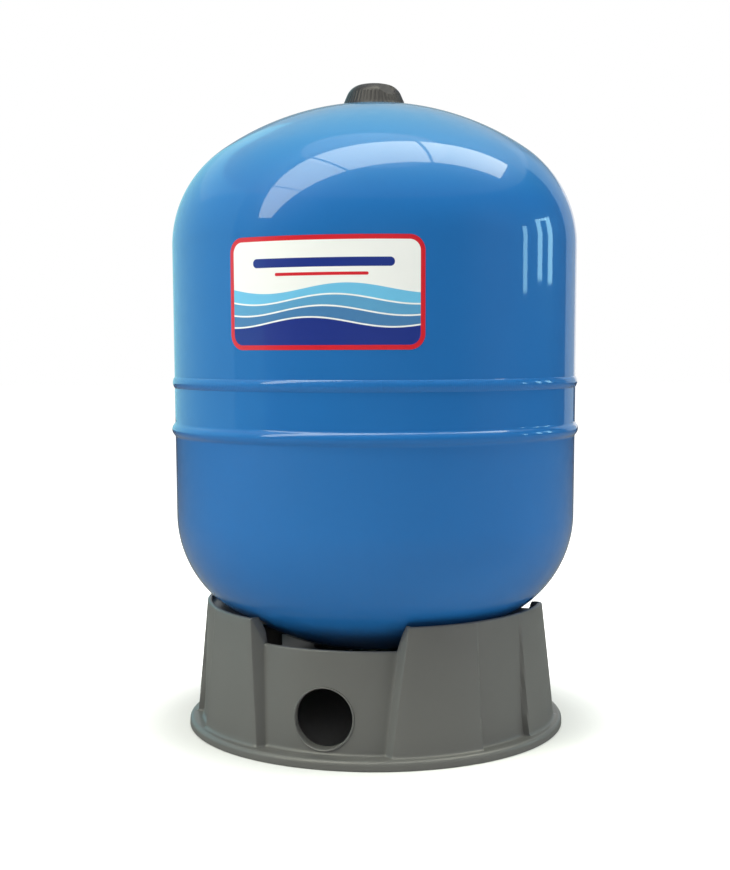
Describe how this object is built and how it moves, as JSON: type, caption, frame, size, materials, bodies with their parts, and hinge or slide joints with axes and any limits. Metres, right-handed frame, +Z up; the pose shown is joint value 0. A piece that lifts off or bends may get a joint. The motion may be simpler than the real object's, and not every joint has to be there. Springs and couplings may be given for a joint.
{
  "type": "expansion tank",
  "caption": "Upright diaphragm expansion tank: domed steel shell with two beads, air valve under a plastic cap, bottom water connection and a moulded stand with windows and a pipe hole.",
  "frame": {"origin": "on the tank's axis at the floor", "axes": "+Z up along the tank's axis, front with the label and the pipe hole towards -Y"},
  "size_m": [0.4129, 0.413, 0.6467],
  "materials": {
    "shell_paint": "glossy blue powder coat",
    "butyl": "matt black rubber",
    "liner_plastic": "natural polypropylene",
    "bare_steel": "plain steel",
    "stainless": "turned stainless steel",
    "zinc_steel": "zinc plated",
    "valve_brass": "turned brass",
    "cap_plastic": "moulded black plastic",
    "stand_plastic": "satin grey moulded plastic",
    "label_film": "printed film"
  },
  "bodies": {
    "root": {"upper_shell": "shell_paint", "lower_shell": "shell_paint", "girth_weld": "shell_paint", "diaphragm": "butyl", "water_liner": "liner_plastic", "clamp_ring": "bare_steel", "water_connection": "stainless", "connection_weld": "bare_steel", "spout_o_ring": "butyl", "valve_boss": "shell_paint", "air_valve_body": "valve_brass", "valve_seal": "butyl", "valve_core_barrel": "valve_brass", "valve_core_spring": "stainless", "base_stand": "stand_plastic", "weld_studs": "zinc_steel", "stud_washers": "zinc_steel", "stud_nuts": "zinc_steel", "front_label": "label_film"},
    "valve_pin": {"valve_core_pin": "stainless", "valve_core_gasket": "butyl"},
    "cap": {"protective_cap": "cap_plastic"}
  },
  "joints": [
    {"name": "cap_pull", "type": "slide", "parent": "root", "child": "cap", "axis": [0, 0, 1], "range_m": [0, 0.03]},
    {"name": "pin_press", "type": "slide", "parent": "root", "child": "valve_pin", "axis": [0, 0, -1], "range_m": [0, 0.0015], "deforming": ["valve_core_spring"]}
  ]
}
